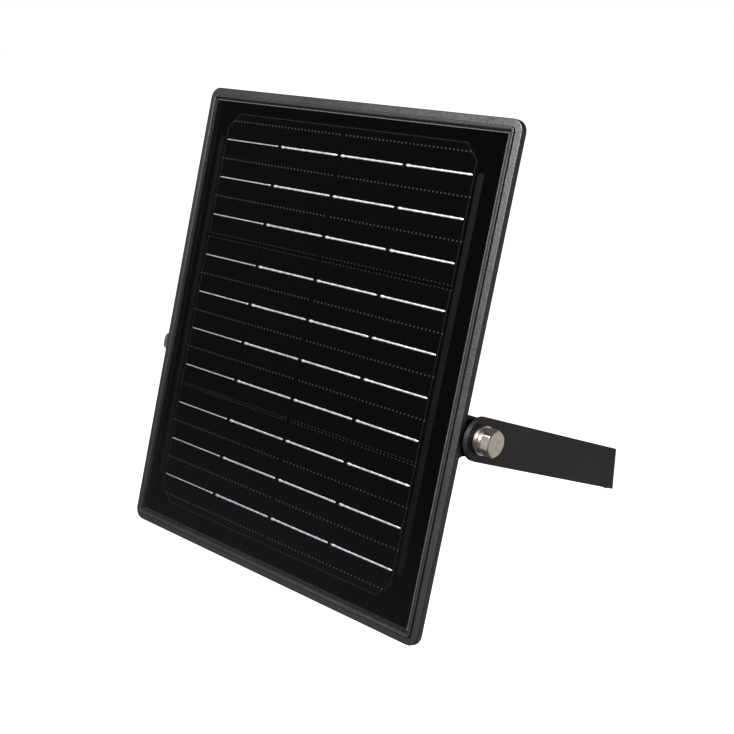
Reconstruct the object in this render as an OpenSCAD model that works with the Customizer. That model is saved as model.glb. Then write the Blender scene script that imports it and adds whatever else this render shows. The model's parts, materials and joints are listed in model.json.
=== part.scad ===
// Wall-mounted solar panel head on a folded U bracket.
// Row frame: origin at the centre of the bracket bar's wall face, +X right, +Y into the wall, +Z up.
// Panel frame: origin at the centre of the front crest, +X right, +Y up the face, +Z out of the face.

/* [Panel frame] */
// Width over the moulded frame
frame_w = 180.2; // [170:0.2:200]
// Height over the moulded frame
frame_h = 206.6; // [200:0.2:220]
// Outer corner radius of the frame
frame_corner_r = 5; // [4.5:0.5:6]
// Thickness of the frame's outer flange
flange_t = 4.2; // [4.2:0.1:5]
// How far the flange's outer edge falls below the crest
flange_fall = 1.1; // [0.6:0.05:1.2]

/* [Laminate] */
// Depth of the glass face below the crest
glass_drop = 0.9; // [0.6:0.1:1.2]
// Thickness of the cover glass
glass_t = 2; // [1.6:0.1:2.2]
// Gap between the frame's pocket wall and the glass edge
glass_gap = 0.5; // [0.3:0.1:0.8]
// Ground chamfer round the glass face
glass_chamfer = 0.45; // [0.2:0.05:0.6]

/* [Cells] */
// Width of one cut cell
cell_w = 36.4; // [36:0.1:36.8]
// Gap between cell columns
column_gap = 0.8; // [0.6:0.1:1]
// Distance between bus bars
bar_pitch = 17.4; // [17.2:0.1:17.5]
// Distance from the wafer's edge to its first bus bar
bar_edge = 12.7; // [12.4:0.1:12.9]
// Gap between the top and middle rows
top_row_gap = 1.5; // [0.8:0.1:1.8]
// Gap between the middle and bottom rows
bottom_row_gap = 0.8; // [0.6:0.1:1.5]
// Corner cut of the wafer
wafer_chamfer = 7; // [5:0.5:8]
// Offset of the cell block from the frame's centre, sideways
block_x = -3.2; // [-3.5:0.1:0]
// Offset of the cell block from the frame's centre, upwards
block_y = 1.1; // [0:0.1:1.5]
// Width of a tabbing ribbon
ribbon_w = 0.9; // [0.8:0.1:1.2]

/* [Pivot and bolts] */
// Pivot axis below the frame's centre
pivot_drop = 18.7; // [16:0.1:24]
// Pivot axis behind the crest
pivot_depth = 12.4; // [12:0.1:15.5]
// Shank diameter of the pivot bolts
bolt_d = 6; // [6:1:6]
// Width across the flats of the bolt head
bolt_af = 10; // [10:1:10]
// Height of the bolt head
bolt_head_h = 4; // [3.6:0.1:4.2]
// Outer diameter of the flat washers
washer_d = 12; // [11.5:0.5:12.5]
// Thickness of each washer
washer_t = 1.6; // [1.4:0.1:1.6]

/* [Bracket] */
// Sheet thickness of the bracket
sheet_t = 2; // [2:0.5:2.5]
// Width of each arm
arm_w = 17.9; // [16:0.1:18]
// Length along an arm from the pivot to the wall
arm_len = 107.4; // [95:0.1:110]
// Rise of the arms away from the wall, in degrees
arm_rise = 20; // [15:1:22]
// Lean of the panel back from upright, in degrees
panel_lean = 13.28; // [10:0.01:16]
// Height of the bar that lies on the wall
bar_h = 14; // [13:0.5:16]
// Outer radius of the folds
fold_r = 3.5; // [3:0.5:4]
// Distance between the two wall screw holes
wall_hole_spacing = 100; // [60:10:120]
// Diameter of the wall screw holes
wall_hole_d = 6.5; // [5:0.5:7]
// Diameter of the centre hole
centre_hole_d = 8.5; // [6.5:0.5:8.5]

/* [Rear tray] */
// Inset of the tray from the frame's edge
tray_inset = 11.5; // [11.5:0.5:13]
// Depth of the tray's rear edge behind the crest
tray_depth = 16; // [15:0.5:18]
// Wall thickness of the moulding
wall_t = 2; // [2:0.1:2.4]
// Thickness of the back cover
cover_t = 2; // [1.6:0.1:2.4]

/* [Junction box] */
// Width of the junction box
box_w = 64; // [60:1:72]
// Height of the junction box
box_h = 46; // [44:1:52]
// Depth of the junction box without its lid
box_d = 18; // [18:0.5:20]
// Height of the box centre above the frame's centre
box_y = 10; // [0:1:20]
// Outer diameter of the cable that the gland takes
cable_d = 5; // [4:0.5:5.5]

/* [Hidden] */

$fn = 64;
cut = 0.5;            // how far a cutting shape runs past the face it opens

// Colours
abs_black = [0.10, 0.10, 0.11];
paint_black = [0.15, 0.15, 0.155];
rubber_black = [0.05, 0.05, 0.05];
steel = [0.72, 0.69, 0.64];
tin = [0.80, 0.81, 0.83];

// Frame section, from the outer edge inwards
crest_inset = 3.5;    // the high line of the frame
pocket_inset = 4.9;   // wall of the pocket that holds the glass
pocket_lip = 1.9;     // depth of the pocket wall's upper edge
skin_inset = 3.4;     // outside of the pocket wall, behind the flange
edge_chamfer = 0.35;

// Laminate stack, each value the depth of a layer's front face behind the crest
film_t = 0.2;         // encapsulant sheets, cells and ribbons alike
sheet_back_t = 0.3;
tape_t = 0.5;
glass_back = glass_drop + glass_t;
ribbon_z = glass_back + film_t;
cell_z = ribbon_z + film_t;
link_z = cell_z + film_t;
rear_film_z = link_z + film_t;
backsheet_z = rear_film_z + film_t;
tape_z = backsheet_z + sheet_back_t;
seat_z = tape_z + tape_t;
glass_w = frame_w - 2 * (pocket_inset + glass_gap);
glass_h = frame_h - 2 * (pocket_inset + glass_gap);

// Cell block
columns = 4;
block_w = columns * cell_w + (columns - 1) * column_gap;
outer_row_h = bar_edge + 2.5 * bar_pitch;
middle_row_h = 4 * bar_pitch;
block_h = 2 * outer_row_h + middle_row_h + top_row_gap + bottom_row_gap;
top_row_y = block_h / 2 - outer_row_h;
middle_row_y = top_row_y - top_row_gap - middle_row_h;
bottom_row_y = -block_h / 2;
BARS_Y = [for (i = [0:2]) bottom_row_y + bar_edge + i * bar_pitch,
    for (i = [0:3]) middle_row_y + (i + 0.5) * bar_pitch,
    for (i = [0:2]) top_row_y + (i + 0.5) * bar_pitch];
ribbon_end = 1.3;     // a ribbon stops this far inside the block's sides
ribbon_stop = 0.6;    // and this far before a gap between columns
bus_strip_w = 3;
bus_strip_gap = 1;

// Pivot stack along X, from the ear outwards
ear_face = frame_w / 2 - 0.6;
disc_t = 0.9;
slip = 0.1;           // gap at each side of the arm
arm_in = ear_face + disc_t + slip;
arm_out = arm_in + sheet_t;
washer_in = arm_out + slip;
spring_in = washer_in + washer_t;
head_in = spring_in + washer_t;
arm_hole_d = bolt_d + 0.15;
disc_d = 14.6;
insert_d = 8.5;
insert_len = 8;
bolt_turn = -2.5;     // turn of the hex corners from the panel's up direction
ear_r = arm_w / 2 - 1.55;
ear_fillet = 3;

// Bracket in the side plane
arm_end_h = arm_w / cos(arm_rise);
arm_wall_z = (arm_end_h - bar_h) / 2;
pivot_out = arm_len * cos(arm_rise);
pivot_up = arm_wall_z + arm_len * sin(arm_rise);

// Rear tray
tray_w = frame_w - 2 * tray_inset;
tray_h = frame_h - 2 * tray_inset;
tray_r = 4;
gasket_t = 0.5;
cover_z = tray_depth + gasket_t;
cover_back = cover_z + cover_t;
cover_play = 0.4;
boss_d = 7;
pilot_d = 2.5;
boss_x = tray_w / 2 - wall_t - boss_d / 2 + 0.6;
boss_y = tray_h / 2 - wall_t - boss_d / 2 + 0.6;
BOSSES = [for (x = [-boss_x, 0, boss_x], y = [-boss_y, 0, boss_y]) if (x != 0 || y != 0) [x, y]];
rib_h = 0.8;

// Junction box
box_wall = 2;
box_r = 5;
box_z = cover_back;
box_back = box_z + box_d;
lid_gasket_t = 0.8;
lid_z = box_back + lid_gasket_t;
lid_t = 2.2;
post_d = 6.5;
post_x = box_w / 2 - box_wall - post_d / 2 + 0.6;
post_y = box_h / 2 - box_wall - post_d / 2 + 0.6;
POSTS = [for (x = [-post_x, post_x], y = [-post_y, post_y]) [x, y]];
board_z = box_z + box_wall + 3;
board_t = 1.6;
board_w = 40;
board_h = 26;
tail_x = 9;
tail_w = 4;
tail_t = 0.4;
tail_slot_w = 26;
tail_slot_h = 6;
tail_y = box_y + 4;
block_board_y = -7;

// Cable gland, on the box's lower side
gland_z = box_z + 9;
gland_y = box_y - box_h / 2;
gland_af = 14;
gland_flange = 4;
gland_thread_d = 10;
gland_bore_d = 6.4;
gland_nose = 11;
seal_len = 8;
seal_d = 8;

// Turns panel coordinates into the row frame
module on_panel() {
    translate([0, -pivot_out, pivot_up]) rotate([90 - panel_lean, 0, 0])
        translate([0, pivot_drop, pivot_depth]) children();
}

// Both sides, with +X pointing away from the panel's centre line
module both_sides() {
    children();
    mirror([1, 0, 0]) children();
}

// The pivot axis on the panel, drawn along +X
module at_pivot(x) {
    translate([x, -pivot_drop, -pivot_depth]) rotate([90, 0, 90]) children();
}

module rounded_rect(w, h, r) {
    square([w - 2 * r, h], center = true);
    square([w, h - 2 * r], center = true);
    for (x = [-1, 1], y = [-1, 1]) translate([x * (w / 2 - r), y * (h / 2 - r)]) circle(r);
}

// A plate from depth z to depth z + t behind the crest
module plate(w, h, z, t, r = 0) {
    translate([0, 0, -z - t]) linear_extrude(t) {
        if (r > 0) rounded_rect(w, h, r);
        else square([w, h], center = true);
    }
}

// A rectangular ring from depth z to depth z + t
module ring_plate(w, h, z, t, width, r = 0) {
    difference() {
        plate(w, h, z, t, r);
        plate(w - 2 * width, h - 2 * width, z - cut, t + 2 * cut, max(r - width, 0));
    }
}

// Sweeps a section round a rounded rectangle; the section's x starts at the corner's centre
module rim_sweep(w, h, r) {
    for (i = [0:3]) {
        along = i % 2 == 0 ? h : w;
        across = i % 2 == 0 ? w : h;
        rotate([0, 0, 90 * i]) translate([across / 2 - r, along / 2 - r, 0]) {
            rotate([90, 0, 0]) linear_extrude(along - 2 * r) children();
            rotate_extrude(angle = 90) children();
        }
    }
}

module tube(d_out, d_in, h) {
    difference() {
        cylinder(d = d_out, h = h);
        translate([0, 0, -cut]) cylinder(d = d_in, h = h + 2 * cut);
    }
}

// Folded U bracket ---------------------------------------------------------------------

// Side outline of one arm, in the row's Y and Z
module arm_outline() {
    dy = sin(arm_rise) * arm_w / 2;
    dz = cos(arm_rise) * arm_w / 2;
    end_z = fold_r * tan(arm_rise);
    difference() {
        union() {
            translate([-pivot_out, pivot_up]) circle(arm_w / 2);
            polygon([[-pivot_out - dy, pivot_up - dz], [-fold_r, arm_wall_z - arm_end_h / 2 + end_z],
                [-fold_r, arm_wall_z + arm_end_h / 2 + end_z], [-pivot_out + dy, pivot_up + dz]]);
        }
        translate([-pivot_out, pivot_up]) circle(d = arm_hole_d);
    }
}

// Quarter turn between an arm and the bar; its upper and lower edges carry the arm's slope on
module fold() {
    low = arm_wall_z - arm_end_h / 2;
    intersection() {
        translate([arm_out - fold_r, -fold_r, low]) rotate_extrude(angle = 90)
            translate([fold_r - sheet_t, 0]) square([sheet_t, arm_end_h + fold_r * tan(arm_rise)]);
        rotate([90, 0, 90]) linear_extrude(arm_out + cut) polygon([
            [-fold_r, low + fold_r * tan(arm_rise)], [0, low],
            [0, low + arm_end_h], [-fold_r, low + arm_end_h + fold_r * tan(arm_rise)]]);
    }
}

module u_bracket() {
    color(paint_black) {
        both_sides() {
            translate([arm_in, 0, 0]) rotate([90, 0, 90]) linear_extrude(sheet_t) arm_outline();
            fold();
        }
        difference() {
            translate([-arm_out + fold_r, -sheet_t, -bar_h / 2])
                cube([2 * (arm_out - fold_r), sheet_t, bar_h]);
            for (x = [-1, 1] * wall_hole_spacing / 2) translate([x, cut, 0]) rotate([90, 0, 0])
                cylinder(d = wall_hole_d, h = sheet_t + 2 * cut);
            translate([0, cut, 0]) rotate([90, 0, 0]) cylinder(d = centre_hole_d, h = sheet_t + 2 * cut);
        }
    }
}

// Moulded frame with its tray and ears ---------------------------------------------------

module frame_section() {
    r = frame_corner_r;
    polygon([[r - pocket_inset, -seat_z - wall_t], [r - skin_inset, -seat_z - wall_t],
        [r - skin_inset, -flange_t], [r - edge_chamfer, -flange_t], [r, -flange_t + edge_chamfer],
        [r, -flange_fall - edge_chamfer], [r - edge_chamfer, -flange_fall], [r - crest_inset, 0],
        [r - crest_inset - edge_chamfer, -0.15], [r - pocket_inset, -pocket_lip]]);
}

// D-shaped ear with concave fillets where it leaves the flange
module ear_outline() {
    reach = pivot_depth - flange_t;
    difference() {
        union() {
            circle(ear_r);
            translate([-ear_r - ear_fillet, 0]) square([2 * (ear_r + ear_fillet), reach]);
        }
        for (s = [-1, 1]) {
            translate([s * (ear_r + ear_fillet), reach - ear_fillet]) circle(ear_fillet);
            translate([s * (ear_r + ear_fillet), 0])
                translate([-ear_fillet, -cut]) square([2 * ear_fillet, reach - ear_fillet + cut]);
        }
    }
}

module ear() {
    ear_in = tray_w / 2 + 0.3;
    difference() {
        at_pivot(ear_in) linear_extrude(ear_face - ear_in) ear_outline();
        plate(frame_w - 2 * pocket_inset, frame_h, seat_z - 1, 1);
    }
    translate([tray_w / 2 - wall_t / 2, -pivot_drop - ear_r, -tray_depth])
        cube([wall_t, 2 * ear_r, tray_depth - seat_z]);
}

module panel_frame() {
    color(abs_black) on_panel() difference() {
        union() {
            rim_sweep(frame_w, frame_h, frame_corner_r) frame_section();
            ring_plate(frame_w - 2 * skin_inset - wall_t, frame_h - 2 * skin_inset - wall_t,
                seat_z, wall_t, tray_inset - skin_inset + wall_t / 2);
            ring_plate(tray_w, tray_h, seat_z, tray_depth - seat_z, wall_t, tray_r);
            for (p = BOSSES) translate([p.x, p.y, -cover_z])
                cylinder(d = boss_d, h = cover_z - seat_z - wall_t);
            both_sides() ear();
        }
        for (p = BOSSES) translate([p.x, p.y, -cover_z - cut])
            cylinder(d = pilot_d, h = cover_z - seat_z - 2 * wall_t + cut);
        both_sides() at_pivot(ear_face - insert_len) cylinder(d = insert_d, h = insert_len + cut);
    }
}

// Laminate ---------------------------------------------------------------------------------

module cover_glass() {
    flat = glass_t - glass_chamfer;
    color([0.62, 0.68, 0.70, 0.3]) on_panel() {
        plate(glass_w, glass_h, glass_drop + glass_chamfer, flat);
        glass_bevel();
    }
}

// Frustum on the glass face, built from four sloped cuts
module glass_bevel() {
    c = glass_chamfer;
    difference() {
        plate(glass_w, glass_h, glass_drop, c);
        for (i = [0:3]) {
            along = i % 2 == 0 ? glass_h : glass_w;
            across = i % 2 == 0 ? glass_w : glass_h;
            rotate([0, 0, 90 * i]) translate([across / 2, along / 2 + cut, -glass_drop])
                rotate([90, 0, 0]) linear_extrude(along + 2 * cut)
                polygon([[-c, 0], [0, -c], [cut, -c], [cut, cut], [-c, cut]]);
        }
    }
}

module glass_sealant() {
    color(rubber_black) on_panel()
        ring_plate(frame_w - 2 * pocket_inset, frame_h - 2 * pocket_inset, pocket_lip,
            tape_z - pocket_lip, glass_gap);
}

module front_encapsulant() {
    color([0.8, 0.85, 0.85, 0.3]) on_panel() plate(glass_w, glass_h, glass_back, film_t);
}

// Outline of one row of cut cells; cut_low and cut_high chamfer its outer corners
module cell_row(y, h, cut_low, cut_high) {
    color([0.04, 0.045, 0.07]) on_panel() translate([block_x, block_y, -cell_z - film_t])
        for (i = [0:columns - 1]) {
            x = -block_w / 2 + i * (cell_w + column_gap);
            c = wafer_chamfer;
            c_left = i == 0 ? c : 0;
            c_right = i == columns - 1 ? c : 0;
            linear_extrude(film_t) polygon(concat(
                cut_low && c_left > 0 ? [[x, y + c], [x + c, y]] : [[x, y]],
                cut_low && c_right > 0 ? [[x + cell_w - c, y], [x + cell_w, y + c]] : [[x + cell_w, y]],
                cut_high && c_right > 0 ? [[x + cell_w, y + h - c], [x + cell_w - c, y + h]]
                    : [[x + cell_w, y + h]],
                cut_high && c_left > 0 ? [[x + c, y + h], [x, y + h - c]] : [[x, y + h]]));
        }
}

module cell_row_top() { cell_row(top_row_y, outer_row_h, false, true); }
module cell_row_middle() { cell_row(middle_row_y, middle_row_h, false, false); }
module cell_row_bottom() { cell_row(bottom_row_y, outer_row_h, true, false); }

// Ribbon on the front of each cell, one length for each column and bus bar
module tabbing_ribbons() {
    color(tin) on_panel() translate([block_x, block_y, -ribbon_z - film_t])
        for (y = BARS_Y, i = [0:columns - 1]) {
            x = -block_w / 2 + i * (cell_w + column_gap);
            start = x + (i == 0 ? ribbon_end : ribbon_stop);
            stop = x + cell_w - (i == columns - 1 ? ribbon_end : ribbon_stop);
            translate([start, y - ribbon_w / 2, 0]) cube([stop - start, ribbon_w, film_t]);
        }
}

// Black-coated link from the front of one cell, down the gap and under the next
module series_links() {
    reach = cell_w - 2;
    color(rubber_black) on_panel() translate([block_x, block_y, 0])
        for (y = BARS_Y, i = [0:columns - 2]) {
            edge = -block_w / 2 + i * (cell_w + column_gap) + cell_w;
            translate([edge, y + ribbon_w / 2, 0]) rotate([90, 0, 0]) linear_extrude(ribbon_w)
                polygon([[-ribbon_stop, -ribbon_z], [column_gap / 2 + film_t / 2, -ribbon_z],
                    [column_gap / 2 + film_t / 2, -link_z], [column_gap + reach, -link_z],
                    [column_gap + reach, -link_z - film_t], [column_gap / 2 - film_t / 2, -link_z - film_t],
                    [column_gap / 2 - film_t / 2, -cell_z], [-ribbon_stop, -cell_z]]);
        }
}

// Collector strips beside the block, black-coated
module end_bus_strips() {
    color(rubber_black) on_panel() translate([block_x, block_y, 0])
        both_sides() translate([block_w / 2 + bus_strip_gap, BARS_Y[0] - ribbon_w, -link_z - film_t])
        cube([bus_strip_w, BARS_Y[9] - BARS_Y[0] + 2 * ribbon_w, film_t]);
}

module rear_encapsulant() {
    color([0.8, 0.85, 0.85, 0.3]) on_panel() plate(glass_w, glass_h, rear_film_z, film_t);
}

module backsheet() {
    color([0.03, 0.03, 0.035]) on_panel() difference() {
        plate(glass_w, glass_h, backsheet_z, sheet_back_t);
        for (x = [-tail_x, tail_x]) tail_cut(x, backsheet_z, sheet_back_t);
    }
}

module tail_cut(x, z, t) {
    translate([x - tail_w / 2 - 0.2, tail_y - tail_t / 2 - 0.2, -z - t - cut])
        cube([tail_w + 0.4, tail_t + 0.4, t + 2 * cut]);
}

module seat_tape() {
    seat_w = tray_inset + wall_t - pocket_inset - glass_gap;
    color(rubber_black) on_panel() ring_plate(glass_w, glass_h, tape_z, tape_t, seat_w);
}

// Back cover ---------------------------------------------------------------------------------

module back_cover() {
    color(abs_black) on_panel() difference() {
        union() {
            plate(tray_w - cover_play, tray_h - cover_play, cover_z, cover_t, tray_r);
            for (y = [-1, 1]) translate([0, y * tray_h / 3.2, 0])
                plate(tray_w * 0.72, 3, cover_back, rib_h, 1.4);
            ring_plate(tray_w * 0.86, tray_h * 0.86, cover_back, rib_h, 2, tray_r + 2);
        }
        for (p = BOSSES) translate([p.x, p.y, -cover_back - rib_h - cut])
            cylinder(d = 3.4, h = cover_t + rib_h + 2 * cut);
        translate([0, tail_y, -cover_back - cut])
            linear_extrude(cover_t + 2 * cut) square([tail_slot_w, tail_slot_h], center = true);
    }
}

module cover_gasket() {
    color(rubber_black) on_panel()
        ring_plate(tray_w - 0.8, tray_h - 0.8, tray_depth, gasket_t, wall_t - 1.2, tray_r - 0.4);
}

// Countersunk-free pan screw: flat head with a cross recess, axis along -Z, head at depth z
module pan_screw(x, y, z, head_d, head_h, shank_d, shank_len) {
    translate([x, y, -z - head_h]) difference() {
        union() {
            cylinder(d = head_d - 0.6, h = head_h);
            translate([0, 0, 0.3]) cylinder(d = head_d, h = head_h - 0.3);
            cylinder(d = shank_d, h = head_h + shank_len);
        }
        for (a = [0, 90]) rotate([0, 0, a]) translate([-head_d * 0.3, -head_d * 0.06, -cut])
            cube([head_d * 0.6, head_d * 0.12, cut + head_h * 0.6]);
    }
}

module cover_screws() {
    color(steel) on_panel() for (p = BOSSES)
        pan_screw(p.x, p.y, cover_back, 5.6, 1.8, pilot_d - 0.1, cover_t + 6);
}

// Junction box ------------------------------------------------------------------------------

module junction_box() {
    color(abs_black) on_panel() difference() {
        union() {
            translate([0, box_y, 0]) difference() {
                plate(box_w, box_h, box_z, box_d, box_r);
                plate(box_w - 2 * box_wall, box_h - 2 * box_wall, box_z + box_wall, box_d, box_r - box_wall);
            }
            for (p = POSTS) translate([p.x, box_y + p.y, -box_back])
                cylinder(d = post_d, h = box_d - box_wall / 2);
            for (x = [-1, 1] * board_w * 0.42, y = [-1, 1] * board_h * 0.36)
                translate([x, box_y + y, -board_z]) cylinder(d = 4, h = board_z - box_z - box_wall / 2);
        }
        for (p = POSTS) translate([p.x, box_y + p.y, -box_back - cut]) cylinder(d = pilot_d, h = 9 + cut);
        translate([0, tail_y, -box_z - box_wall - cut])
            linear_extrude(box_wall + 2 * cut) square([tail_slot_w, tail_slot_h], center = true);
        translate([0, gland_y - cut, -gland_z]) rotate([-90, 0, 0])
            cylinder(d = gland_thread_d + 0.2, h = box_wall + 2 * cut);
    }
}

module box_gasket() {
    color(rubber_black) on_panel() translate([0, box_y, 0])
        ring_plate(box_w - 0.6, box_h - 0.6, box_back, lid_gasket_t, box_wall - 0.6, box_r - 0.3);
}

module box_lid() {
    color(abs_black) on_panel() translate([0, box_y, 0]) difference() {
        union() {
            plate(box_w, box_h, lid_z, lid_t - 0.5, box_r);
            plate(box_w - 1.2, box_h - 1.2, lid_z + lid_t - 0.5, 0.5, box_r - 0.6);
        }
        for (p = POSTS) translate([p.x, p.y, 0]) {
            translate([0, 0, -lid_z - lid_t - cut]) cylinder(d = 3.2, h = lid_t + 2 * cut);
        }
    }
}

module lid_screws() {
    color(steel) on_panel() for (p = POSTS)
        pan_screw(p.x, box_y + p.y, lid_z + lid_t, 5.4, 1.6, pilot_d - 0.1, lid_t + lid_gasket_t + 6);
}

module terminal_board() {
    color([0.05, 0.30, 0.14]) on_panel() difference() {
        translate([0, box_y, 0]) plate(board_w, board_h, board_z, board_t, 1);
        for (x = [-tail_x, tail_x]) tail_cut(x, board_z, board_t);
    }
}

// Two-way screw terminal for the cable's cores, open towards the gland
module terminal_block() {
    z = board_z + board_t;
    color([0.08, 0.35, 0.20]) on_panel() translate([0, box_y + block_board_y, 0]) difference() {
        plate(11, 8, z, 7);
        for (x = [-2.5, 2.5]) {
            translate([x, -4 - cut, -z - 3]) rotate([-90, 0, 0]) cylinder(d = 2.6, h = 5);
            translate([x, 0.5, -z - 7 - cut]) cylinder(d = 3, h = 1.5 + cut);
        }
    }
}

// Axial blocking diode lying on the board
module blocking_diode() {
    z = board_z + board_t;
    color([0.12, 0.12, 0.12]) on_panel() translate([0, box_y - 1, -z - 2]) rotate([0, 90, 0]) {
        translate([0, 0, -4.5]) cylinder(d = 4, h = 9);
        translate([0, 0, -9]) cylinder(d = 1.2, h = 18);
    }
}

// Flat copper tails from the laminate to the board
module output_tails() {
    color([0.72, 0.45, 0.20]) on_panel() for (x = [-tail_x, tail_x])
        translate([x - tail_w / 2, tail_y - tail_t / 2, -board_z - board_t])
        cube([tail_w, tail_t, board_z + board_t - backsheet_z]);
}

// Cable gland ------------------------------------------------------------------------------

module at_gland(drop) {
    on_panel() translate([0, gland_y - drop, -gland_z]) rotate([90, 0, 0]) children();
}

module gland_body() {
    thread = box_wall + 5;
    color(rubber_black) at_gland(0) difference() {
        union() {
            cylinder(d = gland_af / cos(30), h = gland_flange, $fn = 6);
            cylinder(d = gland_thread_d, h = gland_flange + gland_nose);
            translate([0, 0, -thread]) cylinder(d = gland_thread_d, h = thread);
        }
        translate([0, 0, -thread - cut]) cylinder(d = gland_bore_d, h = thread + gland_flange + 2 * cut);
        translate([0, 0, gland_flange + cut]) cylinder(d = seal_d + 0.1, h = gland_nose + cut);
    }
}

module gland_locknut() {
    color(rubber_black) at_gland(-box_wall) mirror([0, 0, 1]) difference() {
        cylinder(d = 13 / cos(30), h = 3, $fn = 6);
        translate([0, 0, -cut]) cylinder(d = gland_thread_d + 0.1, h = 3 + 2 * cut);
    }
}

module gland_seal() {
    color([0.20, 0.20, 0.21]) at_gland(gland_flange + gland_nose - seal_len)
        tube(seal_d, cable_d, seal_len);
}

// Domed compression nut: six grip flats low down, then a turned taper to the cable
module gland_nut() {
    skirt = 8;
    dome = 5.5;
    reach = gland_nose - skirt + 1.3;
    color(rubber_black) at_gland(gland_flange + 0.6) difference() {
        union() {
            cylinder(d = 13 / cos(30), h = skirt, $fn = 6);
            cylinder(d = 13, h = skirt + 1);
            translate([0, 0, skirt + 1]) cylinder(d1 = 13, d2 = 9, h = dome - 1);
        }
        translate([0, 0, -cut]) cylinder(d = gland_thread_d + 0.1, h = skirt + reach - 1.5 + cut);
        translate([0, 0, skirt]) cylinder(d = cable_d + 1.2, h = dome + cut);
    }
}

// Pivot hardware ---------------------------------------------------------------------------

module ear_inserts() {
    color([0.75, 0.60, 0.28]) on_panel() both_sides()
        at_pivot(ear_face - insert_len) tube(insert_d, bolt_d + 0.1, insert_len);
}

module friction_discs() {
    color(rubber_black) on_panel() both_sides() at_pivot(ear_face) tube(disc_d, bolt_d + 0.4, disc_t);
}

module pivot_bolts() {
    shank = head_in - ear_face + insert_len - 0.5;
    across = bolt_af / cos(30);
    color(steel) on_panel() both_sides() {
        at_pivot(head_in) rotate([0, 0, bolt_turn + 90]) intersection() {
            cylinder(d = across, h = bolt_head_h, $fn = 6);
            cylinder(d1 = across + 2 * bolt_head_h * 1.8, d2 = across * 0.955, h = bolt_head_h);
        }
        at_pivot(head_in - shank) cylinder(d = bolt_d, h = shank + 0.2);
    }
}

// Split ring, cut by a slanting slot
module spring_washers() {
    color(steel) on_panel() both_sides() at_pivot(spring_in) difference() {
        tube(10.6, bolt_d + 0.3, washer_t);
        rotate([0, 0, 35]) translate([4, 0, washer_t / 2]) rotate([20, 0, 0])
            cube([5, 0.7, 3 * washer_t], center = true);
    }
}

module flat_washers() {
    color(steel) on_panel() both_sides() at_pivot(washer_in) tube(washer_d, bolt_d + 0.4, washer_t);
}

u_bracket();
panel_frame();
cover_glass();
glass_sealant();
front_encapsulant();
cell_row_top();
cell_row_middle();
cell_row_bottom();
tabbing_ribbons();
series_links();
end_bus_strips();
rear_encapsulant();
backsheet();
seat_tape();
back_cover();
cover_gasket();
cover_screws();
junction_box();
box_gasket();
box_lid();
lid_screws();
terminal_board();
terminal_block();
blocking_diode();
output_tails();
gland_body();
gland_locknut();
gland_seal();
gland_nut();
ear_inserts();
friction_discs();
pivot_bolts();
spring_washers();
flat_washers();
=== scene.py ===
"""Looks of a wall-mounted solar panel head on a folded U bracket.

Lengths in the classes are millimetres. Panel parts are drawn in the panel's own directions (+X right,
+Y up the face, +Z out of the face, origin at the middle of the front crest) and then placed.
"""

import sys

import functools
import json
import logging
import math
from collections.abc import Callable, Iterable
from dataclasses import dataclass
from enum import Enum

import bmesh
import bpy
from mathutils import Matrix, Vector


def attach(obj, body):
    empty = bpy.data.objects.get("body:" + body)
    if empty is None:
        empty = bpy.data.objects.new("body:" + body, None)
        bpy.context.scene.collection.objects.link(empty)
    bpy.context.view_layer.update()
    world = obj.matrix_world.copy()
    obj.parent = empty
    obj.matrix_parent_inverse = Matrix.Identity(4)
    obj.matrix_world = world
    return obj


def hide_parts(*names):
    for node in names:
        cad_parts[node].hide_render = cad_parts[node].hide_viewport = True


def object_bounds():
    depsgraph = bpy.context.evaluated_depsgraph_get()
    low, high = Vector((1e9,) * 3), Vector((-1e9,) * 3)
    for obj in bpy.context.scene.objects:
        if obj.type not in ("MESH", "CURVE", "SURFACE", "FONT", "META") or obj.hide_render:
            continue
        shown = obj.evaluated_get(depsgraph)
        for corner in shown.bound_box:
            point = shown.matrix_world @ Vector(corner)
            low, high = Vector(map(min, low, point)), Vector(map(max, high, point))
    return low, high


MM = 0.001
Colour = tuple[float, float, float]
Point2 = tuple[float, float]
Socket = bpy.types.NodeSocket

log = logging.getLogger("panel_head")
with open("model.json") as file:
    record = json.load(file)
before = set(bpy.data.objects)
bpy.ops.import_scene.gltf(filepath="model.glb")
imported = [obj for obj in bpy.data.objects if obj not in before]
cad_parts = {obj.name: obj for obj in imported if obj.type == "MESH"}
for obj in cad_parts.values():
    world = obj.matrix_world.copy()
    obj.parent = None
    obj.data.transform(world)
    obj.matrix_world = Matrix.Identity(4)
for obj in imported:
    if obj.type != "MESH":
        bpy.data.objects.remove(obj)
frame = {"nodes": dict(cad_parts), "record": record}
cad_low, cad_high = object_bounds()


class Body(Enum):
    """Bodies that a piece can ride on."""

    BRACKET = "bracket"
    PANEL = "panel"


class Slot(Enum):
    """Finish names in the part's record."""

    PAINT = "bracket_paint"
    ABS = "textured_abs"
    GLASS = "glass"
    TIN = "tinned_copper"
    RUBBER = "black_rubber"
    STEEL = "stainless"
    NYLON = "black_nylon"


# Placing -----------------------------------------------------------------------------------


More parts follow.
